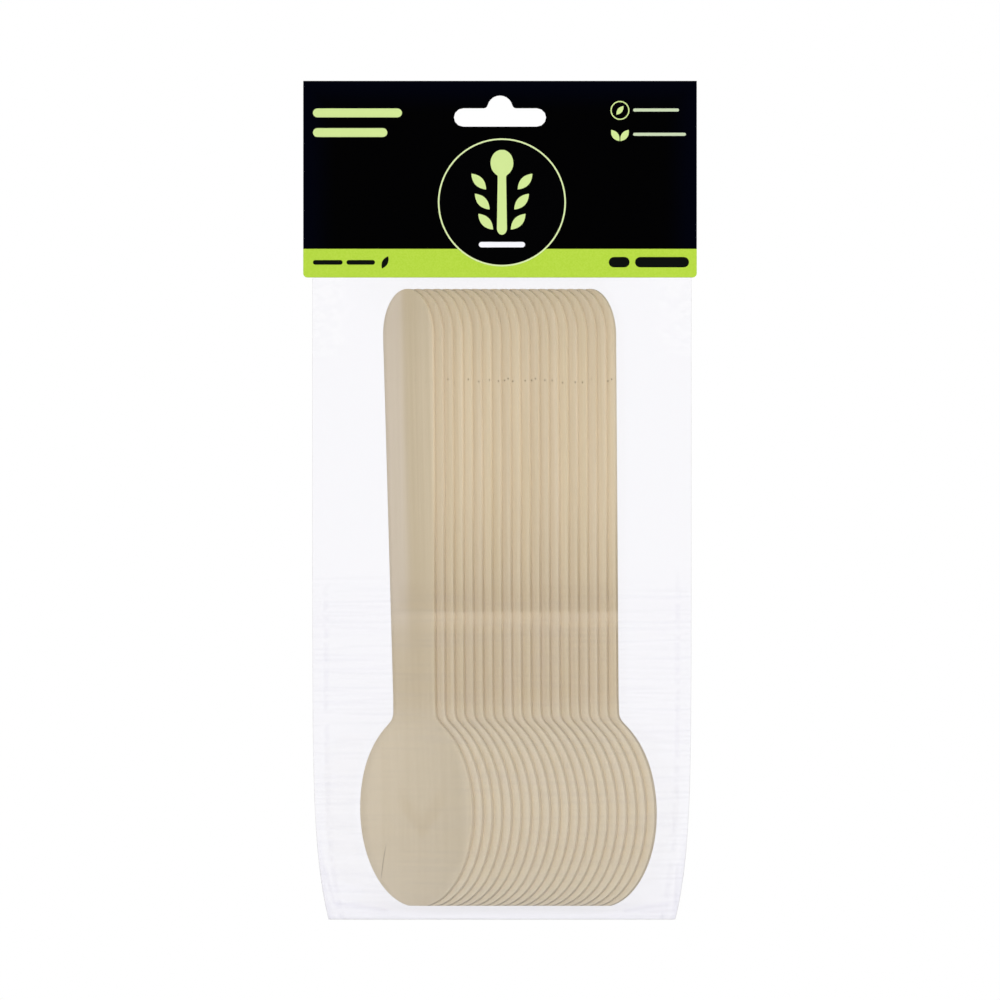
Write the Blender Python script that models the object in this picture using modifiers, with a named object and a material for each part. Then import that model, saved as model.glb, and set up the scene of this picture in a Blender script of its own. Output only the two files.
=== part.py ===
"""Hanging retail pack of twenty wooden spoons.

A folded header card with a euro hang slot is closed over the mouth of a clear film bag.
The spoons stand on their bowls in the bag, each one leaning on the next like tiles on a roof.
+Z is up and -Y is the front. The origin is the top of the hang slot's dome, where a peg bears,
half way through the card's thickness.
"""

import math

import bmesh
import bpy

MM = 0.001

# Spoon
SPOON_COUNT = 20
SPOON_LENGTH = 160.0 * MM
SPOON_THICKNESS = 1.0 * MM
BOWL_LENGTH = 49.2 * MM
BOWL_WIDTH = 35.8 * MM
BOWL_END_FLAT = 6.0 * MM
BOWL_DEPTH = 1.0 * MM
NECK_WIDTH = 13.1 * MM
NECK_FILLET = 2.2 * MM
HANDLE_END_WIDTH = 15.7 * MM
TIP_LENGTH = 12.0 * MM
TIP_FLAT = 3.7 * MM

# How the spoons lie in the bag
SPOON_GAP = 0.42 * MM
FAN_TILT = math.radians(35.0)
FAN_LEAN = math.radians(1.0)
FAN_SHIFT = 2.0 * MM

# Film bag
FILM_WALL = 0.2 * MM
MOUTH_GAP = 0.2 * MM
FILM_CLEARANCE = 0.4 * MM
FILM_SIDE_CLEARANCE = 0.8 * MM
SEAM_WIDTH = 2.0 * MM
BOTTOM_SEAL = 1.6 * MM
BAG_SIDE_ROOM = 10.7 * MM
BAG_BOTTOM_ROOM = 3.6 * MM
BAG_SHIFT = 0.5 * MM
FILM_LIFT = 95.0 * MM
BAG_NARROWING = 4.2 * MM
NARROWING_POWER = 10
MOUTH_BELOW_SLOT = 5.0 * MM

# Header card
CARD_HEIGHT = 51.0 * MM
CARD_THICKNESS = 0.35 * MM
CARD_OVERHANG = 1.85 * MM
CARD_CORNER = 1.0 * MM
CARD_FIT = 0.3 * MM
CARD_TO_SPOONS = 2.9 * MM

# Euro hang slot
SLOT_DROP = 3.8 * MM
SLOT_WIDTH = 23.9 * MM
SLOT_HEIGHT = 4.8 * MM
DOME_RADIUS = 3.3 * MM
DOME_FILLET = 1.0 * MM

# Facets
BOWL_ROWS = 11
BOWL_TOP_ANGLE = math.radians(74.0)
TIP_ROWS = 5
SPOON_COLUMNS = 4
FILM_SPAN_ROWS = 3
SLOT_END_STEPS = 6
DOME_STEPS = 10
FILLET_STEPS = 3
CORNER_STEPS = 3
FOLD_STEPS = 4
FOLD_ROUNDING = 0.96
SMOOTH_ANGLE = math.radians(30.0)
MERGE = 0.00001
CUTTER_MARGIN = 2.0 * MM

# Places worked out from the sizes above
PITCH = (SPOON_THICKNESS + SPOON_GAP) / math.sin(FAN_TILT)
SPREAD = (SPOON_COUNT - 1) / 2 * PITCH
FILM_HALF_STACK = FILM_WALL + MOUTH_GAP / 2
CARD_HALF = FILM_HALF_STACK + CARD_FIT + CARD_THICKNESS
CARD_TOP = SLOT_DROP
CARD_BOTTOM = CARD_TOP - CARD_HEIGHT
SPOON_TOP = CARD_BOTTOM - CARD_TO_SPOONS
SPOON_BOTTOM = SPOON_TOP - SPOON_LENGTH
BOWL_CENTRE = SPOON_BOTTOM + BOWL_LENGTH / 2
BAG_BOTTOM = SPOON_BOTTOM - BAG_BOTTOM_ROOM
SLOT_STRAIGHT_TOP = -DOME_RADIUS
BAG_MOUTH = SLOT_STRAIGHT_TOP - SLOT_HEIGHT - MOUTH_BELOW_SLOT
SHOULDER = SPOON_LENGTH - TIP_LENGTH
BOWL_END_ANGLE = math.acos(BOWL_END_FLAT / BOWL_WIDTH)
TIP_END_ANGLE = math.acos(TIP_FLAT / HANDLE_END_WIDTH)


def clear_scene():
    """Remove every object that the file opened with."""
    for obj in list(bpy.data.objects):
        bpy.data.objects.remove(obj, do_unlink=True)


def new_collection(name):
    """A collection linked into the scene."""
    collection = bpy.data.collections.new(name)
    bpy.context.scene.collection.children.link(collection)
    return collection


def material(name, colour, roughness, alpha=1.0):
    """A Principled material of one plain colour."""
    made = bpy.data.materials.new(name)
    made.use_nodes = True
    shader = made.node_tree.nodes["Principled BSDF"]
    shader.inputs["Base Color"].default_value = (*colour, 1.0)
    shader.inputs["Roughness"].default_value = roughness
    shader.inputs["Metallic"].default_value = 0.0
    shader.inputs["Alpha"].default_value = alpha
    return made


def add_object(name, mesh, collection, finish=None):
    """An object of that mesh, in that collection."""
    obj = bpy.data.objects.new(name, mesh)
    collection.objects.link(obj)
    if finish and not mesh.materials:
        mesh.materials.append(finish)
    return obj


def mesh_from(bm, name):
    """A mesh of what the bmesh holds."""
    mesh = bpy.data.meshes.new(name)
    bm.to_mesh(mesh)
    bm.free()
    return mesh


def mark_cutter(obj):
    """Show an object as a wire and keep it out of renders."""
    obj.display_type = "WIRE"
    obj.hide_render = True


def cut(obj, cutter):
    """Take the cutter's volume out of the object."""
    step = obj.modifiers.new("cut_" + cutter.name, "BOOLEAN")
    step.operation = "DIFFERENCE"
    step.solver = "EXACT"
    step.object = cutter


def arc(centre_x, centre_z, radius, start, end, steps):
    """Points along an arc in the XZ plane, both ends included."""
    turns = [start + (end - start) * i / steps for i in range(steps + 1)]
    return [(centre_x + radius * math.cos(a), centre_z + radius * math.sin(a)) for a in turns]


def bowl_angle(height):
    """Where on the bowl's ellipse a height above the spoon's end lies, from -90 to 90 degrees."""
    share = (2 * height / BOWL_LENGTH - 1) * math.sin(BOWL_END_ANGLE)
    return math.asin(max(-1.0, min(1.0, share)))


def spoon_half_width(height):
    """Half the spoon's width at a height above the end of its bowl."""
    bowl = BOWL_WIDTH / 2 * math.cos(bowl_angle(height))
    if height <= BOWL_LENGTH / 2:
        return bowl
    if height > SHOULDER:
        share = (height - SHOULDER) / TIP_LENGTH * math.sin(TIP_END_ANGLE)
        return HANDLE_END_WIDTH / 2 * math.sqrt(1 - share * share)
    along = (height - BOWL_LENGTH) / (SHOULDER - BOWL_LENGTH)
    handle = (NECK_WIDTH + (HANDLE_END_WIDTH - NECK_WIDTH) * along) / 2
    if height > BOWL_LENGTH + NECK_FILLET:
        return handle
    return (handle + bowl + math.hypot(handle - bowl, NECK_FILLET)) / 2


def spoon_hollow(height, share):
    """How far the bowl is pressed back at a height, and at a share of its half width."""
    return BOWL_DEPTH * math.cos(bowl_angle(height)) ** 2 * (1 - share * share)


def bowl_heights():
    """Heights of the rows of points over the bowl, from its end up to the neck."""
    heights = []
    for i in range(BOWL_ROWS + 1):
        angle = -BOWL_END_ANGLE + (BOWL_TOP_ANGLE + BOWL_END_ANGLE) * i / BOWL_ROWS
        heights.append(BOWL_LENGTH / 2 * (1 + math.sin(angle) / math.sin(BOWL_END_ANGLE)))
    return heights


def tip_heights():
    """Heights of the rows of points over the rounded tip of the handle."""
    heights = []
    for i in range(TIP_ROWS + 1):
        share = math.sin(TIP_END_ANGLE * i / TIP_ROWS) / math.sin(TIP_END_ANGLE)
        heights.append(SHOULDER + TIP_LENGTH * share)
    return heights


def spoon_mesh():
    """The middle sheet of one spoon, its front towards -Y and its origin at the bowl's centre."""
    heights = bowl_heights() + [BOWL_LENGTH + NECK_FILLET] + tip_heights()
    rows = len(heights) - 1
    bm = bmesh.new()
    bmesh.ops.create_grid(bm, x_segments=SPOON_COLUMNS, y_segments=rows, size=1.0)
    for vert in bm.verts:
        share = vert.co.x
        height = heights[round((vert.co.y + 1) / 2 * rows)]
        hollow = spoon_hollow(height, share)
        vert.co = (share * spoon_half_width(height), hollow, height - BOWL_LENGTH / 2)
    return mesh_from(bm, "spoon")


def add_spoons(collection):
    """The row of spoons, each tilted the same way and one pitch behind the last."""
    wood = material("birch_wood", (0.62, 0.50, 0.34), 0.65)
    mesh = spoon_mesh()
    for i in range(SPOON_COUNT):
        spoon = add_object(f"spoon_{i + 1:02d}", mesh, collection, wood)
        spoon.rotation_mode = "ZYX"
        spoon.rotation_euler = (0.0, -FAN_LEAN, -FAN_TILT)
        spoon.location = (FAN_SHIFT - SPREAD + i * PITCH, 0.0, BOWL_CENTRE)
        sheet = spoon.modifiers.new("thickness", "SOLIDIFY")
        sheet.thickness = SPOON_THICKNESS
        sheet.offset = 0.0


def fan_half_width(half_width):
    """Half the width of the row of spoons, where each has that half width."""
    return SPREAD + half_width * math.cos(FAN_TILT) + SPOON_THICKNESS / 2 * math.sin(FAN_TILT)


def fan_half_depth(half_width):
    """Half the depth of the row of spoons, where each has that half width."""
    return half_width * math.sin(FAN_TILT) + SPOON_THICKNESS / 2 * math.cos(FAN_TILT)


def fan_centre(z):
    """The middle of the row of spoons at a height, which leans with them."""
    return FAN_SHIFT - (z - BOWL_CENTRE) * math.tan(FAN_LEAN)


def bag_half_width(z):
    """Half the bag's width, which draws in towards its lower corners."""
    down = max(0.0, (CARD_BOTTOM - z) / (CARD_BOTTOM - BAG_BOTTOM))
    full = fan_half_width(BOWL_WIDTH / 2) + BAG_SIDE_ROOM
    return full - BAG_NARROWING * down**NARROWING_POWER


def sheet_row(z, side, depth, half_width):
    """One sheet's points at one height, from the left side fold to the right one.

    The front sheet, on side -1, lies flat on the right-hand edges of the spoons, which stand
    furthest forward, and the back sheet on their left-hand edges.
    """
    left = BAG_SHIFT - bag_half_width(z)
    right = BAG_SHIFT + bag_half_width(z)
    flat = side * min(depth, FILM_HALF_STACK)
    room = SPOON_THICKNESS / 2 * math.sin(FAN_TILT) + FILM_SIDE_CLEARANCE
    edge = fan_centre(z) - side * half_width * math.cos(FAN_TILT)
    return [
        (left, 0.0, z),
        (left + FILM_HALF_STACK, flat, z),
        (left + SEAM_WIDTH, flat, z),
        (edge - SPREAD - room, side * depth, z),
        (edge, side * depth, z),
        (edge + SPREAD + room, side * depth, z),
        (right - SEAM_WIDTH, flat, z),
        (right - FILM_HALF_STACK, flat, z),
        (right, 0.0, z),
    ]


def film_ring(z, depth, half_width=0.0):
    """The bag's points around one height: along the front sheet and home along the back one."""
    front = sheet_row(z, -1, depth, half_width)
    back = sheet_row(z, 1, depth, half_width)
    return front + back[-2::-1]


def held_half_width(height):
    """Half the width that keeps the film out at a height: the spoon's own, or the film's span.

    The taut film leaves the bowls above their widest place and comes down onto the handles.
    """
    own = spoon_half_width(height)
    if not BOWL_LENGTH / 2 < height < FILM_LIFT:
        return own
    handle = spoon_half_width(FILM_LIFT)
    span = (FILM_LIFT - height) / (FILM_LIFT - BOWL_LENGTH / 2)
    return max(own, handle + (BOWL_WIDTH / 2 - handle) * span**2)


def film_rings():
    """Rings of the bag, from its mouth inside the card down to its sealed bottom edge."""
    rings = [film_ring(BAG_MOUTH, FILM_HALF_STACK), film_ring(CARD_BOTTOM, FILM_HALF_STACK)]
    neck = BOWL_LENGTH + NECK_FILLET
    span = [neck + (FILM_LIFT - neck) * i / FILM_SPAN_ROWS for i in range(FILM_SPAN_ROWS + 1)]
    for height in reversed(bowl_heights() + span + tip_heights()):
        half = held_half_width(height)
        depth = fan_half_depth(half) + FILM_CLEARANCE + FILM_WALL
        rings.append(film_ring(SPOON_BOTTOM + height, depth, half))
    rings.append(film_ring(BAG_BOTTOM + BOTTOM_SEAL, FILM_HALF_STACK))
    rings.append(film_ring(BAG_BOTTOM + FILM_HALF_STACK, FILM_HALF_STACK))
    rings.append(film_ring(BAG_BOTTOM, 0.0))
    return rings


def add_bag(collection):
    """The film bag: a front and a back sheet, joined at the sides and along the bottom."""
    rings = film_rings()
    columns = len(rings[0]) - 1
    steps = len(rings) - 1
    bm = bmesh.new()
    bmesh.ops.create_grid(bm, x_segments=columns, y_segments=steps, size=1.0)
    for vert in bm.verts:
        column = round((vert.co.x + 1) / 2 * columns)
        row = steps - round((vert.co.y + 1) / 2 * steps)
        vert.co = rings[row][column]
    bmesh.ops.remove_doubles(bm, verts=bm.verts, dist=MERGE)
    film = material("clear_film", (0.93, 0.93, 0.95), 0.12, alpha=0.2)
    sheet = mesh_from(bm, "film_bag")
    sheet.shade_smooth()
    bag = add_object("film_bag", sheet, collection, film)
    wall = bag.modifiers.new("wall", "SOLIDIFY")
    wall.thickness = FILM_WALL
    wall.offset = -1.0


def slot_outline():
    """The euro hang slot: a round-ended slot with a dome on it whose top is the origin."""
    end = SLOT_HEIGHT / 2
    middle = SLOT_STRAIGHT_TOP - end
    reach = SLOT_WIDTH / 2 - end
    fillet_x = math.sqrt((DOME_RADIUS + DOME_FILLET) ** 2 - DOME_FILLET**2)
    fillet_z = SLOT_STRAIGHT_TOP + DOME_FILLET
    lean = math.asin(DOME_FILLET / (DOME_RADIUS + DOME_FILLET))
    quarter = math.pi / 2
    points = arc(reach, middle, end, -quarter, quarter, SLOT_END_STEPS)
    points += arc(fillet_x, fillet_z, DOME_FILLET, -quarter, -math.pi + lean, FILLET_STEPS)
    points += arc(0, SLOT_STRAIGHT_TOP, DOME_RADIUS, lean, math.pi - lean, DOME_STEPS)[1:-1]
    points += arc(-fillet_x, fillet_z, DOME_FILLET, -lean, -quarter, FILLET_STEPS)
    points += arc(-reach, middle, end, quarter, 3 * quarter, SLOT_END_STEPS)
    return points


def add_slot_cutter(collection):
    """A prism of the hang slot's outline that reaches past both faces of the card."""
    outline = bpy.data.curves.new("slot_outline", "CURVE")
    outline.dimensions = "2D"
    outline.fill_mode = "BOTH"
    outline.extrude = CARD_HALF + CUTTER_MARGIN
    points = slot_outline()
    spline = outline.splines.new("POLY")
    spline.points.add(len(points) - 1)
    for point, (x, z) in zip(spline.points, points):
        point.co = (x, z, 0.0, 1.0)
    spline.use_cyclic_u = True
    flat = add_object("slot_outline", outline, collection)
    flat.rotation_euler = (math.pi / 2, 0.0, 0.0)
    bpy.context.view_layer.update()
    solid = flat.evaluated_get(bpy.context.evaluated_depsgraph_get())
    mesh = bpy.data.meshes.new_from_object(solid)
    bm = bmesh.new()
    bm.from_mesh(mesh)
    bmesh.ops.remove_doubles(bm, verts=bm.verts, dist=MERGE)
    bm.to_mesh(mesh)
    bm.free()
    cutter = add_object("hang_slot", mesh, collection)
    cutter.matrix_world = flat.matrix_world.copy()
    bpy.data.objects.remove(flat, do_unlink=True)
    mark_cutter(cutter)
    return cutter


def edges_at(bm, z, axis):
    """The edges at a height that run along X, for axis 0, or along Y, for axis 1."""
    found = []
    for edge in bm.edges:
        start, end = (vert.co for vert in edge.verts)
        level = abs(start.z - z) < MERGE and abs(end.z - z) < MERGE
        if level and abs(start[1 - axis] - end[1 - axis]) < MERGE:
            found.append(edge)
    return found


def folded_block(name, width, half_depth, top, bottom, corner):
    """A thin upright slab with a rounded top edge, where the card folds, and lower corners."""
    bm = bmesh.new()
    bmesh.ops.create_cube(bm, size=1.0)
    for vert in bm.verts:
        x, y, z = vert.co
        vert.co = (x * width, y * 2 * half_depth, top if z > 0 else bottom)
    fold = edges_at(bm, top, 0)
    bmesh.ops.bevel(bm, geom=fold, offset=half_depth * FOLD_ROUNDING, segments=FOLD_STEPS,
                    profile=0.5, affect="EDGES", clamp_overlap=True)
    if corner:
        corners = edges_at(bm, bottom, 1)
        bmesh.ops.bevel(bm, geom=corners, offset=corner, segments=CORNER_STEPS,
                        profile=0.5, affect="EDGES", clamp_overlap=True)
    mesh = mesh_from(bm, name)
    mesh.shade_smooth()
    mesh.set_sharp_from_angle(angle=SMOOTH_ANGLE)
    return mesh


def add_card(collection, cutters):
    """The header card: two leaves joined by the fold on top, with the slot through both."""
    width = 2 * (bag_half_width(CARD_BOTTOM) + CARD_OVERHANG)
    ink = material("printed_card", (0.006, 0.006, 0.008), 0.35)
    block = folded_block("header_card", width, CARD_HALF, CARD_TOP, CARD_BOTTOM, CARD_CORNER)
    card = add_object("header_card", block, collection, ink)
    inside = folded_block(
        "between_leaves",
        width + 2 * CUTTER_MARGIN,
        CARD_HALF - CARD_THICKNESS,
        CARD_TOP - CARD_THICKNESS,
        CARD_BOTTOM - CUTTER_MARGIN,
        0.0,
    )
    slit = add_object("between_leaves", inside, cutters)
    mark_cutter(slit)
    cut(card, slit)
    cut(card, add_slot_cutter(cutters))


def main():
    """Build the pack."""
    clear_scene()
    parts = new_collection("wooden_spoon_pack")
    cutters = new_collection("cutters")
    add_spoons(parts)
    add_bag(parts)
    add_card(parts, cutters)


main()
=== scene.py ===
"""Looks of the hanging pack of wooden spoons: wood, printed card, clear film, light and camera."""

import math

import bmesh
import bpy
import numpy as np
from mathutils import Matrix, Vector


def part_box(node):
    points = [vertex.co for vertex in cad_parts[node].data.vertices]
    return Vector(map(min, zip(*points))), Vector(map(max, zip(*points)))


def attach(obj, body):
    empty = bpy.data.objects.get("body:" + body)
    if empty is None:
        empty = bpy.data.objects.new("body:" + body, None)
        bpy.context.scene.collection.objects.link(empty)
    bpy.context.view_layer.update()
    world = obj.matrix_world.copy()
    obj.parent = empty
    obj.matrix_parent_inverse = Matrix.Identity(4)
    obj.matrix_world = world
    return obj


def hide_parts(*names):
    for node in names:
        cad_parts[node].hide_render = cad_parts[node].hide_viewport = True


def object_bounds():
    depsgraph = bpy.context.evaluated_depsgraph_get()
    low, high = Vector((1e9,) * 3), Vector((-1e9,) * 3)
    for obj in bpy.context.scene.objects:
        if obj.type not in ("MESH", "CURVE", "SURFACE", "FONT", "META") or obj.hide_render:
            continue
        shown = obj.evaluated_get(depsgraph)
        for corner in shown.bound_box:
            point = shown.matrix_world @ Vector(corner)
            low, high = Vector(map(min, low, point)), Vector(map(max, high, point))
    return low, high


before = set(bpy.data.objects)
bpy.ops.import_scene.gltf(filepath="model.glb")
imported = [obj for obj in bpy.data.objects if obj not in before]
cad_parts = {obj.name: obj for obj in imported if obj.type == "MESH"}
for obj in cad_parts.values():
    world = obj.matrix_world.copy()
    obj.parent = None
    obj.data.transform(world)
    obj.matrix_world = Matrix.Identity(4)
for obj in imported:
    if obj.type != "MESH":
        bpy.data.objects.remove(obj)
CAD_BOX = [list(corner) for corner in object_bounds()]

MM = 0.001
FRONT = -1
BACK = 1

# Photograph: pixels for each millimetre, and where the origin lies in it
PX_PER_MM = 3.856
ORIGIN_PX = (500.0, 95.5)
IMAGE_PX = 1000

# Spoon: the sizes of the solids, apart from its tip, its softened edges and a slight warp
SPOON_COUNT = 20
SPOON_LENGTH = 160.0 * MM
SPOON_THICKNESS = 1.0 * MM
BOWL_LENGTH = 49.2 * MM
BOWL_WIDTH = 35.8 * MM
BOWL_END_FLAT = 6.0 * MM
BOWL_DEPTH = 1.0 * MM
NECK_WIDTH = 13.1 * MM
NECK_FILLET = 2.2 * MM
HANDLE_END_WIDTH = 15.7 * MM
TIP_LENGTH = 12.0 * MM
TIP_FLAT = 0.5 * MM
SHOULDER = SPOON_LENGTH - TIP_LENGTH
FAN_TILT = math.radians(35.0)
FAN_LEAN = math.radians(1.0)
EDGE_SOFTENING = 0.08 * MM
PLANK_STEP = 0.37
WARP = 0.012 * MM

# Wood: heights above the bowl's end, in metres, over which a tone, a painted highlight or a painted shade
# comes or goes, and its share
NECK_COMES = (0.040, 0.058)
NECK_GOES = (0.078, 0.104)
NECK_SHARE = 0.06
TIP_COMES = (0.132, 0.160)
TIP_SHARE = 0.12
BOWL_GOES = (0.044, 0.056)
BOWL_SHARE = 0.40
FRONT_BOWL_SHARE = 0.20
FOOT_GOES = (0.006, 0.018)
FOOT_SHARE = 0.14
# Painted highlight: a lighter band across all the spoons where a crease of the film catches the light
PAINTED_HIGHLIGHT_COMES = (0.0700, 0.0748)
PAINTED_HIGHLIGHT_GOES = (0.0756, 0.0766)
PAINTED_HIGHLIGHT_SHARE = 0.18
# Painted shade: a darker band just above the painted highlight, along the film's crease
CREASE_SHADE_COMES = (0.0760, 0.0770)
CREASE_SHADE_GOES = (0.080, 0.086)
CREASE_SHADE_SHARE = 0.10
# Cut edges: darker low on the spoon and faint near its end, partly their own darker end grain and partly
# painted shade of the lines between the spoons
EDGE_CHANGES = (0.080, 0.115)
LOW_EDGE_SHARE = 0.40
HIGH_EDGE_SHARE = 0.03
PORE_HEIGHT = 0.1366
PORE_SHARE = 0.75
FRONT_PORE_SHARE = 0.2

# Film
FILM_THICKNESS = 0.05 * MM
FILM_SEAM = 2.0 * MM
FILM_STACK = 0.3 * MM
FILM_GAP = 0.12 * MM
CELL_MARGIN = 0.35 * MM
FILM_RELAX_STEPS = 400
OVER_RELAXATION = 1.85
BOTTOM_SEAL = 1.6 * MM
BAG_NARROWING = 4.2 * MM
NARROWING_POWER = 10
WRINKLES_FROM = -126.0 * MM
MOUTH_ROWS = 10
FILM_ROWS = 170
SIDE_COLUMNS = 20
MIDDLE_COLUMNS = 12
MIDDLE_SHARE = 0.55
HELD_DEPTH = FILM_THICKNESS * 1.5
FOLD_SEEDS = {FRONT: 11, BACK: 23}
WAVE_COUNT = 26
WAVE_HEIGHT = 0.10 * MM
BILLOW_COUNT = 9
BILLOW_HEIGHT = 0.09 * MM

# Print on the card
INK = 0.03 * MM
BAND_HEIGHT = 7.4 * MM
BADGE_RADIUS = 16.6 * MM
BADGE_LINE = 0.4 * MM
BADGE_X = 0.5 * MM
BADGE_Z = -27.75 * MM
SIGN_LENGTH = 22.0 * MM
SIGN_LIFT = 2.6 * MM
LEAF_LENGTH = 5.6 * MM
LEAF_WIDTH = 2.4 * MM
LEAF_TURN = 0.75
LEAF_REACH = 4.2 * MM
LEAF_SPREAD = 0.9 * MM
LEAF_STEP = 5.2 * MM
LEAF_DROP = 5.0 * MM
LEAF_ROWS = 3
SIGN_WIDENING = 1.2
BAR_ROUNDING = 0.499

# Camera and floor
CAMERA_DISTANCE = 2.5
SENSOR = 36.0
FLOOR_DROP = 46.0 * MM
FLOOR_RADIUS = 0.44

# Light: a lamp's name, its place from the pack's middle, its width and its power
WHITE = (1.0, 1.0, 1.0, 1.0)
WORLD_LEVEL = 0.12
LAMPS = (
    ("key", (0.42, -1.5, 0.25), 0.7, 15.9),
    ("front_fill", (0.0, -1.6, -0.3), 0.7, 7.0),
    ("left_fill", (-1.6, 0.2, 0.2), 0.8, 0.8),
    ("back_fill", (-0.4, 1.6, 0.3), 0.9, 13.0),
    ("top", (0.0, 0.2, 1.2), 0.9, 4.0),
)


def add_object(name, mesh, *materials):
    """An object of that mesh with those materials, in the scene."""
    obj = bpy.data.objects.new(name, mesh)
    bpy.context.scene.collection.objects.link(obj)
    for made in materials:
        mesh.materials.append(made)
    return obj


def mesh_from(bm, name):
    """A mesh of what the bmesh holds."""
    mesh = bpy.data.meshes.new(name)
    bm.to_mesh(mesh)
    bm.free()
    return mesh


def carry(obj, slot, *nodes):
    """Fix a piece to the pack and hide the solids that it stands for; its slot is not used."""
    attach(obj, "root")
    if nodes:
        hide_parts(*nodes)


class Nodes:
    """A short way to write the node tree of a material or of the world."""

    def __init__(self, owner):
        owner.use_nodes = True
        self.owner = owner
        self.tree = owner.node_tree
        self.shader = self.tree.nodes.get("Principled BSDF")
        self.output = self.tree.nodes.get("Material Output") or self.tree.nodes["World Output"]

    def add(self, kind, **settings):
        """A node of that kind, its own settings set."""
        node = self.tree.nodes.new(kind)
        for key, value in settings.items():
            setattr(node, key, value)
        return node

    def put(self, socket, value):
        """Feed a socket from another socket, or set it."""
        if isinstance(value, bpy.types.NodeSocket):
            self.tree.links.new(value, socket)
        else:
            socket.default_value = value

    def math(self, operation, *values):
        """The result of a Math node."""
        node = self.add("ShaderNodeMath", operation=operation)
        for socket, value in zip(node.inputs, values):
            self.put(socket, value)
        return node.outputs[0]

    def step(self, value, low, high, start=0.0, end=1.0):
        """A smooth step of a value from start, at low, to end, at high."""
        node = self.add("ShaderNodeMapRange", interpolation_type="SMOOTHSTEP")
        self.put(node.inputs["Value"], value)
        node.inputs["From Min"].default_value = low
        node.inputs["From Max"].default_value = high
        node.inputs["To Min"].default_value = start
        node.inputs["To Max"].default_value = end
        return node.outputs[0]

    def mix(self, share, first, second, blend="MIX"):
        """A mix of two colours."""
        node = self.add("ShaderNodeMix", data_type="RGBA", blend_type=blend)
        self.put(node.inputs[0], share)
        self.put(node.inputs[6], first)
        self.put(node.inputs[7], second)
        return node.outputs[2]

    def noise(self, vector, scale, detail=2.0, roughness=0.5, distortion=0.0):
        """A noise texture's value."""
        node = self.add("ShaderNodeTexNoise")
        self.put(node.inputs["Vector"], vector)
        node.inputs["Scale"].default_value = scale
        node.inputs["Detail"].default_value = detail
        node.inputs["Roughness"].default_value = roughness
        node.inputs["Distortion"].default_value = distortion
        return node.outputs["Fac"]

    def stretch(self, vector, scale):
        """A vector scaled."""
        node = self.add("ShaderNodeMapping")
        self.put(node.inputs["Vector"], vector)
        node.inputs["Scale"].default_value = scale
        return node.outputs[0]

    def place(self):
        """Where a point is in the pack's own frame."""
        return self.add("ShaderNodeTexCoord").outputs["Object"]

    def parts(self, vector):
        """A vector's three numbers."""
        node = self.add("ShaderNodeSeparateXYZ")
        self.put(node.inputs[0], vector)
        return node.outputs[0], node.outputs[1], node.outputs[2]

    def bump(self, height, strength, distance):
        """A normal roughened by a height."""
        node = self.add("ShaderNodeBump")
        node.inputs["Strength"].default_value = strength
        node.inputs["Distance"].default_value = distance
        self.put(node.inputs["Height"], height)
        return node.outputs[0]

    def seen_directly(self):
        """1 to the camera, to mirrors and through clear matter, 0 to all other light."""
        path = self.add("ShaderNodeLightPath").outputs
        seen = self.math("MAXIMUM", path["Is Camera Ray"], path["Is Glossy Ray"])
        return self.math("MAXIMUM", seen, path["Is Transmission Ray"])

    def blend(self, share, first, second):
        """A mix of two shaders."""
        node = self.add("ShaderNodeMixShader")
        self.put(node.inputs[0], share)
        self.put(node.inputs[1], first)
        self.put(node.inputs[2], second)
        return node.outputs[0]


def rgb(red, green, blue):
    """A colour from its sRGB levels out of 255."""
    levels = []
    for level in (red, green, blue):
        share = level / 255
        levels.append(share / 12.92 if share <= 0.04045 else ((share + 0.055) / 1.055) ** 2.4)
    return (*levels, 1.0)


# Wood


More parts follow.
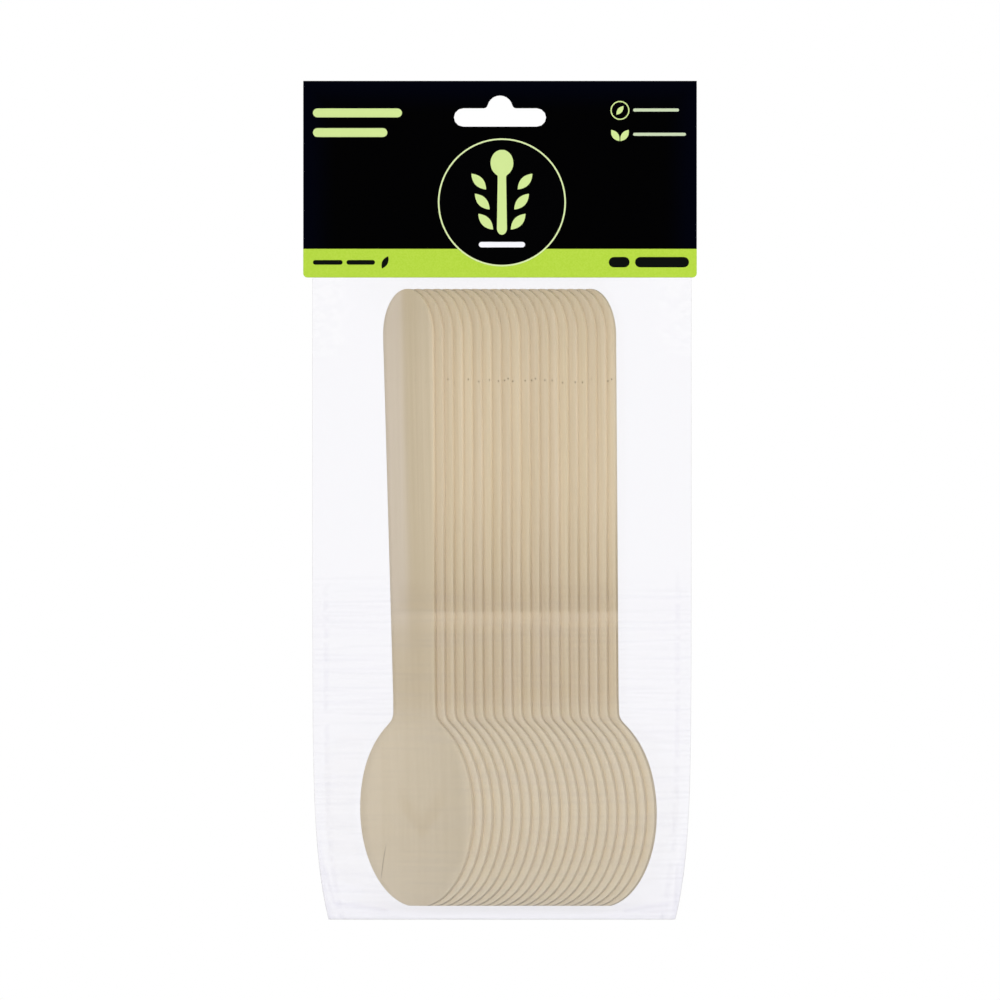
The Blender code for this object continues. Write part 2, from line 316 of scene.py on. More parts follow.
def wood_material(name, edge=False, front=False):
    """Pale birch veneer: long fibres, soft growth figure and small pores, with a painted highlight band, a
    painted shade band and cut edges darkened partly by painted shade.
    """
    n = Nodes(bpy.data.materials.new(name))
    plank = n.add("ShaderNodeUVMap", uv_map="plank").outputs[0]
    fibres = n.noise(n.stretch(plank, (1150.0, 12.0, 1.0)), 1.0, detail=2.0, roughness=0.5)
    figure = n.noise(n.stretch(plank, (46.0, 6.0, 1.0)), 1.0, detail=2.0, distortion=0.7)
    cloud = n.noise(n.stretch(plank, (9.0, 4.0, 1.0)), 1.0, detail=1.0)
    tone = n.math("ADD", n.math("MULTIPLY", fibres, 0.6), n.math("MULTIPLY", figure, 0.4))
    pale, deep = rgb(226, 211, 181), rgb(219, 203, 170)
    colour = n.mix(n.step(tone, 0.34, 0.66), deep, pale)
    warm = n.mix(n.step(cloud, 0.35, 0.65), rgb(255, 254, 251), rgb(253, 252, 252))
    colour = n.mix(1.0, colour, warm, "MULTIPLY")
    across, height, _ = n.parts(plank)
    neck = n.math("SUBTRACT", n.step(height, *NECK_COMES), n.step(height, *NECK_GOES))
    colour = n.mix(n.math("MULTIPLY", neck, NECK_SHARE), colour, rgb(146, 128, 94))
    tip = n.step(height, *TIP_COMES)
    colour = n.mix(n.math("MULTIPLY", tip, TIP_SHARE), colour, rgb(150, 138, 100))
    lift, dark = rgb(246, 238, 216), rgb(120, 98, 62)
    bowl_share = FRONT_BOWL_SHARE if front else BOWL_SHARE
    colour = n.mix(n.step(height, *BOWL_GOES, bowl_share, 0.0), colour, lift)
    colour = n.mix(n.step(height, *FOOT_GOES, FOOT_SHARE, 0.0), colour, lift)
    # Painted highlight: a lighter band across every spoon under the film's crease; it also thins the
    # painted shade on the cut edges
    painted_highlight = n.math("MULTIPLY", n.step(height, *PAINTED_HIGHLIGHT_COMES), n.step(height, *PAINTED_HIGHLIGHT_GOES, 1.0, 0.0))
    colour = n.mix(n.math("MULTIPLY", painted_highlight, PAINTED_HIGHLIGHT_SHARE), colour, rgb(246, 230, 202))
    # Painted shade: a darker band just above the painted highlight, along the film's crease; on the front
    # spoon only on its right part
    crease_shade = n.math("MULTIPLY", n.step(height, *CREASE_SHADE_COMES), n.step(height, *CREASE_SHADE_GOES, 1.0, 0.0))
    if front:
        colour = front_figure(n, colour, across, height)
        crease_shade = n.math("MULTIPLY", crease_shade, n.step(across, -0.0046, -0.0036))
    colour = n.mix(n.math("MULTIPLY", crease_shade, CREASE_SHADE_SHARE), colour, rgb(176, 150, 96))
    if not edge:
        depth = FRONT_PORE_SHARE if front else PORE_SHARE
        colour = n.mix(n.math("MULTIPLY", pores(n, across, height), depth), colour, dark)
    # Cut edges darkened by height: partly their own darker end grain, partly painted shade of the lines
    # between the spoons
    if edge:
        shade = n.step(height, *EDGE_CHANGES, LOW_EDGE_SHARE, HIGH_EDGE_SHARE)
        shade = n.math("MULTIPLY", shade, n.math("SUBTRACT", 1.0, n.math("MULTIPLY", painted_highlight, 0.5)))
        colour = n.mix(shade, colour, dark)
    n.put(n.shader.inputs["Base Color"], colour)
    n.put(n.shader.inputs["Roughness"], n.step(fibres, 0.3, 0.7, 0.56, 0.70))
    n.shader.inputs["Specular IOR Level"].default_value = 0.3
    n.put(n.shader.inputs["Normal"], n.bump(fibres, 0.15, 0.00006))
    return n.owner


def pores(n, across, height):
    """A row of small dark specks that crosses the handle near its end."""
    points = n.add("ShaderNodeTexVoronoi", voronoi_dimensions="1D")
    points.inputs["Scale"].default_value = 520.0
    n.put(points.inputs["W"], across)
    near = n.step(points.outputs["Distance"], 0.06, 0.15, 1.0, 0.0)
    chance, present, _ = n.parts(points.outputs["Color"])
    near = n.math("MULTIPLY", near, n.step(present, 0.20, 0.35))
    lift = n.math("MULTIPLY", chance, 0.0011)
    off = n.math("ABSOLUTE", n.math("SUBTRACT", n.math("ADD", height, lift), PORE_HEIGHT))
    return n.math("MULTIPLY", near, n.step(off, 0.00015, 0.00030, 1.0, 0.0))


def front_figure(n, colour, across, height):
    """The front spoon's own figure: a greyer left side, a warmer middle and a thin dark line on its bowl.
    """
    plank = n.add("ShaderNodeUVMap", uv_map="plank").outputs[0]
    wave = n.noise(n.stretch(plank, (20.0, 12.0, 1.0)), 1.0)
    side = n.math("ADD", across, n.math("MULTIPLY", n.math("SUBTRACT", wave, 0.5), 0.006))
    handle = n.step(height, 0.060, 0.085)
    band = n.math("MULTIPLY", n.step(side, -0.0024, -0.0006), n.step(side, 0.002, 0.006, 1.0, 0.0))
    band = n.math("MULTIPLY", band, n.step(height, 0.045, 0.070))
    colour = n.mix(n.math("MULTIPLY", band, 0.22), colour, rgb(196, 176, 134))
    grey = n.math("MULTIPLY", n.step(side, -0.0030, 0.0006, 1.0, 0.0), handle)
    colour = n.mix(n.math("MULTIPLY", grey, 0.42), colour, rgb(232, 220, 206))
    away = n.math("ABSOLUTE", n.math("SUBTRACT", across, 0.0012))
    rise = n.math("SUBTRACT", n.math("SUBTRACT", height, 0.0160), n.math("MULTIPLY", away, 1.1))
    figure = n.math("MULTIPLY", n.step(rise, 0.0, 0.003), n.step(rise, 0.004, 0.010, 1.0, 0.0))
    figure = n.math("MULTIPLY", figure, n.step(away, 0.004, 0.009, 1.0, 0.0))
    colour = n.mix(n.math("MULTIPLY", figure, 0.14), colour, rgb(196, 170, 116))
    bend = n.math("MULTIPLY", n.math("MULTIPLY", height, height), 8.0)
    thin_line_x = n.math("ADD", n.math("ADD", n.math("MULTIPLY", height, -0.02), bend), -0.0118)
    near_line = n.math("ABSOLUTE", n.math("SUBTRACT", across, thin_line_x))
    near_line = n.step(near_line, 0.00002, 0.00020, 1.0, 0.0)
    span = n.math("MULTIPLY", n.step(height, 0.006, 0.009), n.step(height, 0.013, 0.017, 1.0, 0.0))
    thin_line = n.math("MULTIPLY", n.math("MULTIPLY", near_line, span), 0.6)
    return n.mix(thin_line, colour, rgb(112, 84, 50))


def bowl_angle(height):
    """Where on the bowl's ellipse a height above the spoon's end lies."""
    share = (2 * height / BOWL_LENGTH - 1) * math.sin(math.acos(BOWL_END_FLAT / BOWL_WIDTH))
    return math.asin(max(-1.0, min(1.0, share)))


def spoon_half_width(height):
    """Half the spoon's width at a height above the end of its bowl."""
    bowl = BOWL_WIDTH / 2 * math.cos(bowl_angle(height))
    if height <= BOWL_LENGTH / 2:
        return bowl
    if height > SHOULDER:
        end = math.sin(math.acos(TIP_FLAT / HANDLE_END_WIDTH))
        share = (height - SHOULDER) / TIP_LENGTH * end
        return HANDLE_END_WIDTH / 2 * math.sqrt(1 - share * share)
    along = (height - BOWL_LENGTH) / (SHOULDER - BOWL_LENGTH)
    handle = (NECK_WIDTH + (HANDLE_END_WIDTH - NECK_WIDTH) * along) / 2
    blend = NECK_FILLET * min(1.0, (height - BOWL_LENGTH / 2) / (BOWL_LENGTH / 4))
    if height > BOWL_LENGTH:
        blend *= max(0.0, 1 - (height - BOWL_LENGTH) / (3 * NECK_FILLET))
    return (handle + bowl + math.hypot(handle - bowl, blend)) / 2


def spoon_hollow(height, share):
    """How far the bowl is pressed back at a height, and at a share of its half width."""
    return BOWL_DEPTH * math.cos(bowl_angle(height)) ** 2 * (1 - share * share)


def spoon_heights():
    """Heights of the rows of points along the spoon, closer where its outline turns."""
    end = math.acos(BOWL_END_FLAT / BOWL_WIDTH)
    bowl = [BOWL_LENGTH / 2 * (1 + math.sin(a) / math.sin(end)) for a in np.linspace(-end, 1.1, 34)]
    neck = np.linspace(bowl[-1], BOWL_LENGTH + 4 * NECK_FILLET, 17)[1:]
    handle = np.linspace(neck[-1], SHOULDER, 14)[1:]
    end = math.acos(TIP_FLAT / HANDLE_END_WIDTH)
    tip = [SHOULDER + TIP_LENGTH * math.sin(a) / math.sin(end) for a in np.linspace(0, end, 15)[1:]]
    return bowl + list(neck) + list(handle) + tip


def spoon_mesh(index, heights, columns=12):
    """The middle sheet of one spoon, with its own place in the plank for its grain."""
    rows = len(heights) - 1
    widths = [spoon_half_width(h) for h in heights]
    bm = bmesh.new()
    bmesh.ops.create_grid(bm, x_segments=columns, y_segments=rows, size=1.0)
    plank = bm.loops.layers.uv.new("plank")
    for vert in bm.verts:
        share = vert.co.x
        row = round((vert.co.y + 1) / 2 * rows)
        height = heights[row]
        x = share * widths[row]
        warp = WARP * math.sin(height * 31 + index * 2.3) * math.sin(x * 160 + index)
        vert.co = (x, spoon_hollow(height, share) + warp, height)
    for face in bm.faces:
        for loop in face.loops:
            x, _, height = loop.vert.co
            loop[plank].uv = (x + index * PLANK_STEP, height)
    return mesh_from(bm, f"wooden_spoon_{index + 1:02d}")


def add_spoons():
    """The twenty spoons, each set where its solid is."""
    face, edge = wood_material("birch_face"), wood_material("birch_edge", edge=True)
    first = wood_material("birch_front_spoon", front=True)
    heights = spoon_heights()
    turn = Matrix.Rotation(-FAN_LEAN, 4, "Y") @ Matrix.Rotation(-FAN_TILT, 4, "Z")
    for index in range(SPOON_COUNT):
        node = f"spoon_{index + 1:02d}"
        mesh = spoon_mesh(index, heights)
        spoon = add_object(f"wooden_{node}", mesh, first if index == 0 else face, edge)
        low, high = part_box(node)
        middle = [turn @ v.co for v in mesh.vertices]
        across = [p.x for p in middle]
        centre_x = (low[0] + high[0] - min(across) - max(across)) / 2
        base_z = low[2] - min(p.z for p in middle)
        spoon.matrix_world = Matrix.Translation((centre_x, 0.0, base_z)) @ turn
        sheet = spoon.modifiers.new("thickness", "SOLIDIFY")
        sheet.thickness = SPOON_THICKNESS
        sheet.offset = 0.0
        sheet.use_even_offset = True
        sheet.material_offset_rim = 1
        soft = spoon.modifiers.new("worn_edges", "BEVEL")
        soft.width = EDGE_SOFTENING
        soft.segments = 2
        soft.limit_method = "ANGLE"
        soft.angle_limit = math.radians(50)
        mesh.shade_smooth()
        carry(spoon, "birch_wood", node)


# Film


def crease(n, x, z, start, end, width):
    """How near a point is to a soft crease between two points of the pack's front, in millimetres."""
    (x1, z1), (x2, z2) = ([c * MM for c in start], [c * MM for c in end])
    length = math.hypot(x2 - x1, z2 - z1)
    along_x, along_z = (x2 - x1) / length, (z2 - z1) / length
    from_x, from_z = n.math("SUBTRACT", x, x1), n.math("SUBTRACT", z, z1)
    along = n.math("ADD", n.math("MULTIPLY", from_x, along_x), n.math("MULTIPLY", from_z, along_z))
    off = n.math("SUBTRACT", n.math("MULTIPLY", from_x, along_z), n.math("MULTIPLY", from_z, along_x))
    near = n.step(n.math("ABSOLUTE", off), 0.0, width * MM, 1.0, 0.0)
    half = n.math("ABSOLUTE", n.math("SUBTRACT", along, length / 2))
    return n.math("MULTIPLY", near, n.step(half, length / 2 - MM, length / 2 + MM, 1.0, 0.0))


def total(n, *values):
    """The sum of several values."""
    result = values[0]
    for value in values[1:]:
        result = n.math("ADD", result, value)
    return result


def film_haze(n):
    """How far the film is dulled: more towards its wrinkled lower half, along folds and the seal, and less
    in painted highlight patches near its upper corners.
    """
    x, _, z = n.parts(n.place())
    inset = n.parts(n.add("ShaderNodeUVMap", uv_map="sheet").outputs[0])[0]
    low = n.step(z, -0.121, -0.132)
    threads = n.noise(n.stretch(n.place(), (38.0, 38.0, 950.0)), 1.0, detail=2.0)
    threads = n.math("MULTIPLY", n.step(threads, 0.44, 0.70), low)
    seal = n.step(z, -0.2085, -0.2100)
    bottom = n.step(z, -0.196, -0.210)
    mottle = n.noise(n.stretch(n.place(), (300.0, 300.0, 500.0)), 1.0, detail=2.0)
    fold = n.math("MULTIPLY", n.step(inset, 0.0024, 0.0034), n.step(inset, 0.0036, 0.0048, 1.0, 0.0))
    fold = n.math("MULTIPLY", n.math("MULTIPLY", fold, n.step(mottle, 0.35, 0.6)), low)
    corners = total(
        n,
        crease(n, x, z, (-45.6, -200.0), (-43.0, -209.5), 0.9),
        crease(n, x, z, (-42.8, -209.4), (-29.0, -211.4), 1.0),
        crease(n, x, z, (46.0, -199.3), (45.4, -209.7), 0.9),
        crease(n, x, z, (32.0, -211.4), (43.8, -209.7), 1.0),
    )
    rim = n.math("MULTIPLY", n.step(inset, 0.0004, 0.0018, 1.0, 0.0), n.step(z, -0.186, -0.200))
    # Painted highlight: patches near the upper corners where less haze leaves the film whiter
    painted_glint = n.math("MULTIPLY", n.step(z, -0.074, -0.062), n.step(inset, 0.006, 0.012, 1.0, 0.0))
    painted_glint = n.math("MULTIPLY", painted_glint, n.step(mottle, 0.40, 0.60))
    haze = total(
        n,
        n.math("MULTIPLY", n.math("SUBTRACT", 1.0, painted_glint), 0.008),
        n.math("MULTIPLY", low, 0.006),
        n.math("MULTIPLY", threads, 0.014),
        n.math("MULTIPLY", bottom, 0.008),
        n.math("MULTIPLY", seal, 0.012),
        n.math("MULTIPLY", fold, 0.020),
        n.math("MULTIPLY", corners, 0.024),
        n.math("MULTIPLY", rim, 0.026),
    )
    return haze, low


def film_material():
    """Clear film: it mirrors a little, more at a slant, and hazes slightly lilac in its folds."""
    n = Nodes(bpy.data.materials.new("clear_film"))
    n.tree.nodes.remove(n.shader)
    slant = n.add("ShaderNodeLayerWeight").outputs["Facing"]
    haze, low = film_haze(n)
    mirror = n.math("ADD", 0.02, n.math("MULTIPLY", n.math("POWER", slant, 4.0), 0.2))
    ripples = n.noise(n.stretch(n.place(), (30.0, 30.0, 900.0)), 1.0, detail=2.0)
    normal = n.bump(n.math("MULTIPLY", ripples, low), 0.25, 0.0001)
    clear = n.add("ShaderNodeBsdfTransparent")
    clear.inputs["Color"].default_value = (0.994, 0.993, 0.998, 1.0)
    gloss = n.add("ShaderNodeBsdfAnisotropic")
    gloss.inputs["Roughness"].default_value = 0.13
    n.put(gloss.inputs["Normal"], normal)
    dull = n.add("ShaderNodeBsdfDiffuse")
    dull.inputs["Color"].default_value = rgb(192, 187, 220)
    sheet = n.blend(haze, n.blend(mirror, clear.outputs[0], gloss.outputs[0]), dull.outputs[0])
    n.put(n.output.inputs["Surface"], sheet)
    return n.owner


def smooth_step(value, low, high):
    """0 below low, 1 above high and smooth between."""
    share = np.clip((value - low) / (high - low), 0.0, 1.0)
    return share * share * (3 - 2 * share)


def film_columns(half_width):
    """Places across the film as shares of its half width: close at the folds, wide between."""
    side = [1.0, 1 - FILM_STACK / half_width, 1 - FILM_SEAM / half_width]
    side += list(np.linspace(side[-1], MIDDLE_SHARE, SIDE_COLUMNS)[1:])
    middle = list(np.linspace(MIDDLE_SHARE, 0.0, MIDDLE_COLUMNS)[1:])
    right = side + middle
    return np.array([-s for s in right] + [s for s in reversed(right[:-1])])


def fan_depth(x, z, side, places, lean_x):
    """How far the spoons stand out on one side of the pack, within one cell of each point."""
    pitch, first_x, base_z = places
    height = z - base_z
    widths = np.array([spoon_half_width(min(max(h, 0.0), SPOON_LENGTH)) for h in height[:, 0]])
    inside = ((height > 0) & (height < SPOON_LENGTH))[:, 0]
    gaps = np.diff(x, axis=1)
    cell = np.maximum(np.pad(gaps, ((0, 0), (1, 0)), "edge"), np.pad(gaps, ((0, 0), (0, 1)), "edge"))
    near = (cell + CELL_MARGIN) / math.cos(FAN_TILT)
    out = np.full(x.shape, -1.0)
    for index in range(SPOON_COUNT):
        centre = first_x + index * pitch - lean_x * (z - base_z - BOWL_LENGTH / 2)
        local = (x - centre) / math.cos(FAN_TILT)
        reach = widths[:, None] * inside[:, None]
        outmost = np.clip(local - side * near, -reach, reach)
        face = -side * outmost * math.sin(FAN_TILT) + SPOON_THICKNESS / 2 * math.cos(FAN_TILT)
        met = (np.abs(local) < reach + near) & inside[:, None]
        out = np.where(met, np.maximum(out, face), out)
    wide = out.copy()
    wide[1:] = np.maximum(wide[1:], out[:-1])
    wide[:-1] = np.maximum(wide[:-1], out[1:])
    return wide


def relax(depth, floor, held, x, z):
    """Pull a sheet taut over what is behind it; its held points stay."""
    left = x[1:-1, 1:-1] - x[1:-1, :-2]
    right = x[1:-1, 2:] - x[1:-1, 1:-1]
    above = z[:-2, 1:-1] - z[1:-1, 1:-1]
    below = z[1:-1, 1:-1] - z[2:, 1:-1]
    weights = (2 / (left * (left + right)), 2 / (right * (left + right)),
               2 / (above * (above + below)), 2 / (below * (above + below)))
    weight = sum(weights)
    row, column = np.indices(left.shape)
    inner, under, free = depth[1:-1, 1:-1], floor[1:-1, 1:-1], ~held[1:-1, 1:-1]
    colours = [free & ((row + column) % 2 == turn) for turn in (0, 1)]
    for _ in range(FILM_RELAX_STEPS):
        for chosen in colours:
            pull = (weights[0] * depth[1:-1, :-2] + weights[1] * depth[1:-1, 2:]
                    + weights[2] * depth[:-2, 1:-1] + weights[3] * depth[2:, 1:-1]) / weight
            moved = np.maximum(inner + OVER_RELAXATION * (pull - inner), under)
            inner[chosen] = moved[chosen]
    return depth


def main_folds(x, z, left, right, side):
    """Small folds and wrinkles of the film, out from its taut surface."""
    edge = np.minimum(x - left, right - x)
    sides = np.exp(-((edge - 9 * MM) / (7 * MM)) ** 2)
    low = smooth_step(-z, -WRINKLES_FROM, -WRINKLES_FROM + 8 * MM)
    waves = np.zeros_like(x)
    generator = np.random.default_rng(FOLD_SEEDS[side])
    for _ in range(WAVE_COUNT):
        length = generator.uniform(2.4, 7.5) * MM
        bend = generator.uniform(-0.25, 0.25)
        start = generator.uniform(0, 2 * math.pi)
        centre = generator.uniform(-214, -120) * MM
        spread = generator.uniform(6, 22) * MM
        wave = np.sin(2 * math.pi * (z + bend * (edge - 8 * MM)) / length + start)
        waves += wave * np.exp(-((z - centre) / spread) ** 2)
    wrinkle = WAVE_HEIGHT * waves * sides * low
    billow = np.zeros_like(x)
    for _ in range(BILLOW_COUNT):
        length = generator.uniform(14, 40) * MM
        start = generator.uniform(0, 2 * math.pi)
        billow += np.sin(2 * math.pi * (z + 0.4 * edge) / length + start)
    wrinkle += BILLOW_HEIGHT * billow * np.exp(-((edge - 8 * MM) / (6 * MM)) ** 2)
    return wrinkle


def film_side(side, places, card_low, top, bottom):
    """Points of the front or back film, row by row from the mouth down."""
    low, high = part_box("film_bag")
    middle = (low[0] + high[0]) / 2
    full = (high[0] - low[0]) / 2
    shares = film_columns(full)
    upper = np.linspace(top, card_low, MOUTH_ROWS)[:-1]
    rows = np.linspace(card_low, bottom + BOTTOM_SEAL, FILM_ROWS)
    seal = np.array([bottom + BOTTOM_SEAL * s for s in (0.66, 0.33, 0.0)])
    heights = np.concatenate([upper, rows, seal])
    z = np.repeat(heights[:, None], len(shares), axis=1)
    down = np.clip((card_low - z) / (card_low - bottom), 0.0, 1.0)
    half = full - BAG_NARROWING * down**NARROWING_POWER
    x = middle + half * shares[None, :]
    floor = fan_depth(x, z, side, places, math.tan(FAN_LEAN)) + FILM_GAP + FILM_THICKNESS
    floor = np.maximum(floor, FILM_THICKNESS)
    depth = floor.copy()
    held = np.zeros(z.shape, bool)
    held[:, :3] = held[:, -3:] = True
    held[z >= card_low] = True
    held[z <= bottom + BOTTOM_SEAL] = True
    depth[held] = HELD_DEPTH
    depth[:, 0] = depth[:, -1] = 0.0
    depth[-1, :] = 0.0
    depth = relax(depth, floor, held, x, z)
    extra = main_folds(x, z, middle - half, middle + half, side)
    depth = np.where(held, depth, np.maximum(depth + extra, floor))
    return np.stack([x, side * depth, z], axis=2)


def film_grid(points, name):
    """A sheet through rows of points."""
    rows, columns = points.shape[0] - 1, points.shape[1] - 1
    bm = bmesh.new()
    bmesh.ops.create_grid(bm, x_segments=columns, y_segments=rows, size=1.0)
    place = {}
    for vert in bm.verts:
        column = round((vert.co.x + 1) / 2 * columns)
        row = rows - round((vert.co.y + 1) / 2 * rows)
        place[vert] = (row, column)
        vert.co = points[row, column]
    sheet = bm.loops.layers.uv.new("sheet")
    for face in bm.faces:
        for loop in face.loops:
            row, column = place[loop.vert]
            x, _, z = points[row, column]
            loop[sheet].uv = (min(x - points[row, 0][0], points[row, -1][0] - x), z)
    return mesh_from(bm, name)


def add_film():
    """The clear bag: a front and a back film joined along the side folds and bottom edge."""
    first_low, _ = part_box("spoon_01")
    last_low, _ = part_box(f"spoon_{SPOON_COUNT:02d}")
    pitch = (last_low[0] - first_low[0]) / (SPOON_COUNT - 1)
    bowl_x = first_low[0] + BOWL_WIDTH / 2 * math.cos(FAN_TILT)
    places = (pitch, bowl_x, first_low[2])
    low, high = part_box("film_bag")
    card_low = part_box("header_card")[0][2]
    bm = bmesh.new()
    for side in (FRONT, BACK):
        sheet = film_grid(film_side(side, places, card_low, high[2], low[2]), "film_sheet")
        if side == BACK:
            sheet.flip_normals()
        bm.from_mesh(sheet)
        bpy.data.meshes.remove(sheet)
    bmesh.ops.remove_doubles(bm, verts=bm.verts, dist=0.005 * MM)
    bmesh.ops.recalc_face_normals(bm, faces=bm.faces)
    mesh = mesh_from(bm, "film")
    mesh.shade_smooth()
    film = add_object("clear_bag", mesh, film_material())
    wall = film.modifiers.new("wall", "SOLIDIFY")
    wall.thickness = FILM_THICKNESS
    wall.offset = -1.0
    carry(film, "clear_film", "film_bag")


# Header card


def card_material():
    """Coated card: black print over a lime band, with a painted bluish sheen near its edges and bare board
    on its cut edges and inside.
    """
    n = Nodes(bpy.data.materials.new("printed_card"))
    low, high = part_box("header_card")
    place = n.place()
    x, _, z = n.parts(place)
    grain = n.noise(place, 2400.0, detail=3.0)
    # Painted sheen: the black turns faintly navy towards the card's left, right and top edges
    rim = n.math("MINIMUM", n.math("SUBTRACT", x, low[0]), n.math("SUBTRACT", high[0], x))
    rim = n.math("MINIMUM", rim, n.math("SUBTRACT", high[2], z))
    black = n.mix(n.step(rim, 0.0, 0.009, 0.8, 0.0), (0.0001, 0.0001, 0.0002, 1), rgb(1, 2, 11))
    band = n.step(z, low[2] + BAND_HEIGHT - 0.00004, low[2] + BAND_HEIGHT + 0.00004, 1.0, 0.0)
    lime = n.mix(n.step(grain, 0.3, 0.7), rgb(175, 210, 63), rgb(183, 215, 73))
    colour = n.mix(band, black, lime)
    turned = n.add("ShaderNodeNewGeometry").outputs["Normal"]
    _, facing, _ = n.parts(turned)
    bare = n.step(n.math("ABSOLUTE", facing), 0.3, 0.6, 1.0, 0.0)
    top = n.step(z, high[2] - 0.0012, high[2] - 0.0009, 1.0, 0.0)
    colour = n.mix(n.math("MULTIPLY", bare, top), colour, rgb(206, 204, 198))
    n.put(n.shader.inputs["Base Color"], colour)
    n.put(n.shader.inputs["Roughness"], n.step(grain, 0.2, 0.8, 0.40, 0.52))
    n.shader.inputs["Specular IOR Level"].default_value = 0.01
    n.put(n.shader.inputs["Normal"], n.bump(grain, 0.08, 0.00005))
    return n.owner


def ink_material(name, colour):
    """One flat printing ink with the card's own fine grain."""
    n = Nodes(bpy.data.materials.new(name))
    grain = n.noise(n.place(), 2400.0, detail=3.0)
    shade = n.mix(0.5, colour, tuple(c * 0.93 for c in colour[:3]) + (1.0,))
    n.put(n.shader.inputs["Base Color"], n.mix(grain, colour, shade))
    n.shader.inputs["Roughness"].default_value = 0.45
    n.shader.inputs["Specular IOR Level"].default_value = 0.01
    n.put(n.shader.inputs["Normal"], n.bump(grain, 0.08, 0.00005))
    return n.owner


def arc_points(x, z, radius, start, end, steps):
    """Points along an arc on the card's front, both ends included."""
    return [(x + radius * math.cos(a), z + radius * math.sin(a)) for a in np.linspace(start, end, steps)]


def bar(left, right, low, high):
    """A bar with round ends."""
    radius = (high - low) * BAR_ROUNDING
    quarter = math.pi / 2
    corners = ((right - radius, high - radius), (left + radius, high - radius),
               (left + radius, low + radius), (right - radius, low + radius))
    points = []
    for turn, (x, z) in enumerate(corners):
        points += arc_points(x, z, radius, turn * quarter, (turn + 1) * quarter, 5)
    return points


def disc(x, z, radius, steps=96):
    """A round outline."""
    return arc_points(x, z, radius, 0, 2 * math.pi, steps + 1)[:-1]


def leaf(x, z, length, width, turn):
    """A pointed leaf between two arcs, turned about its middle."""
    points = []
    for side in (1, -1):
        for share in np.linspace(-1, 1, 13)[:-1]:
            along = side * share * length / 2
            off = side * width / 2 * (1 - share * share)
            points.append((x + along * math.cos(turn) - off * math.sin(turn),
                           z + along * math.sin(turn) + off * math.cos(turn)))
    return points


def spoon_sign(x, z, length):
    """A plain spoon standing upright, its bowl at the top."""
    scale = length / SPOON_LENGTH
    heights = spoon_heights()[::2] + [SPOON_LENGTH]
    right = [(x + spoon_half_width(h) * scale * SIGN_WIDENING, z + length / 2 - h * scale) for h in heights]
    left = [(2 * x - px, pz) for px, pz in reversed(right)]
    return right + left


def print_shapes(name, colour, outlines, rings=(), level=1):
    """A thin layer of ink of those outlines and rings on the front of the card."""
    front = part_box("header_card")[0][1]
    bm = bmesh.new()
    for outline in outlines:
        verts = [bm.verts.new((x, front - (level - 1) * INK, z)) for x, z in outline]
        bm.faces.new(verts)
    for x, z, radius, line in rings:
        inner, outer = disc(x, z, radius - line / 2), disc(x, z, radius + line / 2)
        loops = [[bm.verts.new((px, front - (level - 1) * INK, pz)) for px, pz in ring]
                 for ring in (inner, outer)]
        for i in range(len(inner)):
            j = (i + 1) % len(inner)
            bm.faces.new((loops[0][i], loops[1][i], loops[1][j], loops[0][j]))
    top = bmesh.ops.extrude_face_region(bm, geom=bm.faces[:])
    moved = [g for g in top["geom"] if isinstance(g, bmesh.types.BMVert)]
    bmesh.ops.translate(bm, verts=moved, vec=(0, -INK, 0))
    bmesh.ops.recalc_face_normals(bm, faces=bm.faces)
    printed = add_object(name, mesh_from(bm, name), ink_material(name, colour))
    carry(printed, "printed_card")


def word_bars(low, high, *spans):
    """A line of rounded bars in place of words, each from its left to its right in millimetres."""
    return [bar(left * MM, right * MM, low * MM, high * MM) for left, right in spans]


def add_print():
    """Bars, badges and signs in place of the card's lettering."""
    lime, ring = rgb(208, 230, 150), rgb(216, 232, 172)
    soft, white = rgb(200, 214, 180), rgb(244, 244, 249)
    badge = (BADGE_X, BADGE_Z)
    print_shapes("badge_field", (0.0003, 0.0003, 0.0005, 1.0), [disc(*badge, BADGE_RADIUS, 160)])
    print_shapes("badge_ring", ring, [], [(*badge, BADGE_RADIUS - BADGE_LINE / 2, BADGE_LINE)], level=2)
    title = word_bars(-5.7, -3.4, (-48.5, -25.4)) + word_bars(-10.8, -8.5, (-48.5, -29.2))
    icons = [leaf(31.1 * MM, -3.9 * MM, 2.9 * MM, 1.3 * MM, 0.9)]
    icons += [leaf(29.9 * MM, -10.4 * MM, 3.6 * MM, 1.7 * MM, 2.2)]
    icons += [leaf(32.3 * MM, -10.4 * MM, 3.6 * MM, 1.7 * MM, 0.94)]
    print_shapes("lime_print", lime, title + icons, [(31.1 * MM, -3.9 * MM, 2.3 * MM, 0.3 * MM)])
    lines = word_bars(-4.2, -3.4, (34.5, 46.4)) + word_bars(-10.5, -9.7, (34.5, 48.2))
    print_shapes("small_lines", soft, lines)
    sign = [spoon_sign(badge[0], badge[1] + SIGN_LIFT, SIGN_LENGTH)]
    for side in (-1, 1):
        for row in range(LEAF_ROWS):
            x = badge[0] + side * (LEAF_REACH + row * LEAF_SPREAD)
            z = badge[1] - LEAF_DROP + row * LEAF_STEP
            sign.append(leaf(x, z, LEAF_LENGTH, LEAF_WIDTH, math.pi / 2 - side * LEAF_TURN))
    print_shapes("badge_sign", lime, sign, level=2)
    print_shapes("badge_line", white, word_bars(-39.4, -38.0, (-5.5, 6.5)), level=2)
    small = word_bars(-43.9, -42.7, (-48.5, -40.8), (-39.8, -32.4))
    small += [leaf(-29.8 * MM, -43.3 * MM, 3.6 * MM, 1.5 * MM, 1.1)]
    bold = word_bars(-44.6, -41.9, (28.2, 33.6), (35.0, 49.0))
    print_shapes("black_print", (0.004, 0.005, 0.004, 1.0), small + bold)


# Surroundings


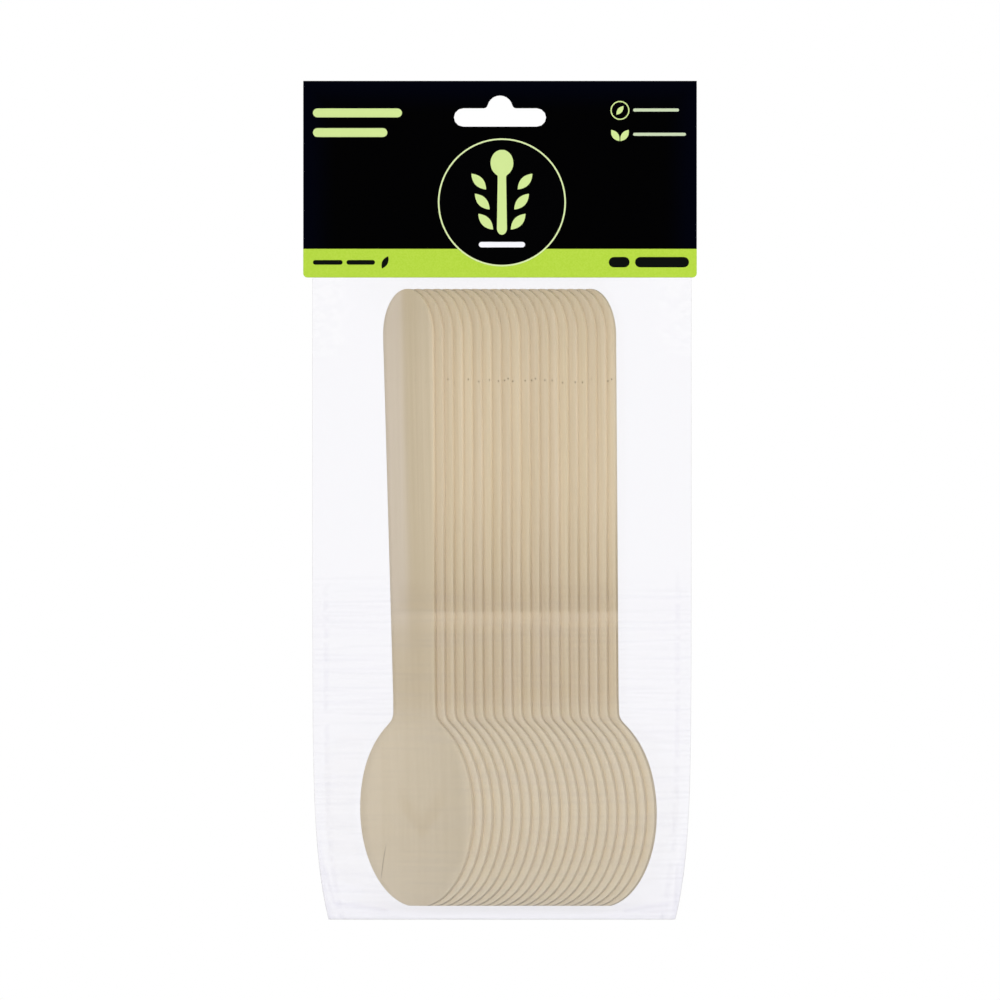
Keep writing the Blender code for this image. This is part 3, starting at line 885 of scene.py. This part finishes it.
def add_world():
    """Even pale light, and plain white where the camera or a mirror looks past the pack."""
    studio = bpy.data.worlds.new("studio")
    bpy.context.scene.world = studio
    n = Nodes(studio)
    light, white = n.tree.nodes["Background"], n.add("ShaderNodeBackground")
    light.inputs["Color"].default_value = WHITE
    light.inputs["Strength"].default_value = WORLD_LEVEL
    white.inputs["Color"].default_value = WHITE
    seen = n.blend(n.seen_directly(), light.outputs[0], white.outputs[0])
    n.put(n.output.inputs["Surface"], seen)


def add_lamps():
    """Soft lamps that face the middle of the pack."""
    low, high = CAD_BOX
    target = Vector([(a + b) / 2 for a, b in zip(low, high)])
    for name, place, size, power in LAMPS:
        light = bpy.data.lights.new(name, "AREA")
        light.shape = "DISK"
        light.size = size
        light.energy = power
        lamp = bpy.data.objects.new(name, light)
        lamp.visible_glossy = False
        bpy.context.scene.collection.objects.link(lamp)
        lamp.location = target + Vector(place)
        lamp.rotation_euler = (-Vector(place)).to_track_quat("-Z", "Y").to_euler()


def add_camera():
    """A long lens square to the front, framed as the photograph is."""
    data = bpy.data.cameras.new("camera")
    data.sensor_width = SENSOR
    data.lens = SENSOR * CAMERA_DISTANCE / (IMAGE_PX / PX_PER_MM * MM)
    camera = bpy.data.objects.new("camera", data)
    bpy.context.scene.collection.objects.link(camera)
    x = (IMAGE_PX / 2 - ORIGIN_PX[0]) / PX_PER_MM * MM
    z = (ORIGIN_PX[1] - IMAGE_PX / 2) / PX_PER_MM * MM
    camera.location = (x, -CAMERA_DISTANCE, z)
    camera.rotation_euler = (math.pi / 2, 0.0, 0.0)
    bpy.context.scene.camera = camera


def add_floor():
    """A pale floor a little way under the hanging pack, which fades to white at its rim."""
    n = Nodes(bpy.data.materials.new("pale_floor"))
    x, y, _ = n.parts(n.place())
    out = n.math("SQRT", n.math("ADD", n.math("MULTIPLY", x, x), n.math("MULTIPLY", y, y)))
    fade = n.step(out, FLOOR_RADIUS * 0.35, FLOOR_RADIUS * 0.95)
    glow = n.add("ShaderNodeEmission")
    n.shader.inputs["Base Color"].default_value = (0.93, 0.93, 0.93, 1.0)
    n.shader.inputs["Roughness"].default_value = 0.9
    white = n.math("MULTIPLY", fade, n.seen_directly())
    n.put(n.output.inputs["Surface"], n.blend(white, n.shader.outputs[0], glow.outputs[0]))
    bm = bmesh.new()
    bmesh.ops.create_circle(bm, cap_ends=True, segments=96, radius=FLOOR_RADIUS)
    floor = add_object("floor", mesh_from(bm, "floor"), n.owner)
    floor.location.z = CAD_BOX[0][2] - FLOOR_DROP


def main():
    """Dress the pack and set it in its studio."""
    bpy.context.scene.view_settings.view_transform = "Standard"
    add_camera()
    add_world()
    add_lamps()
    add_floor()
    add_spoons()
    add_film()
    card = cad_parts["header_card"]
    card.data.materials.clear()
    card.data.materials.append(card_material())
    add_print()


main()
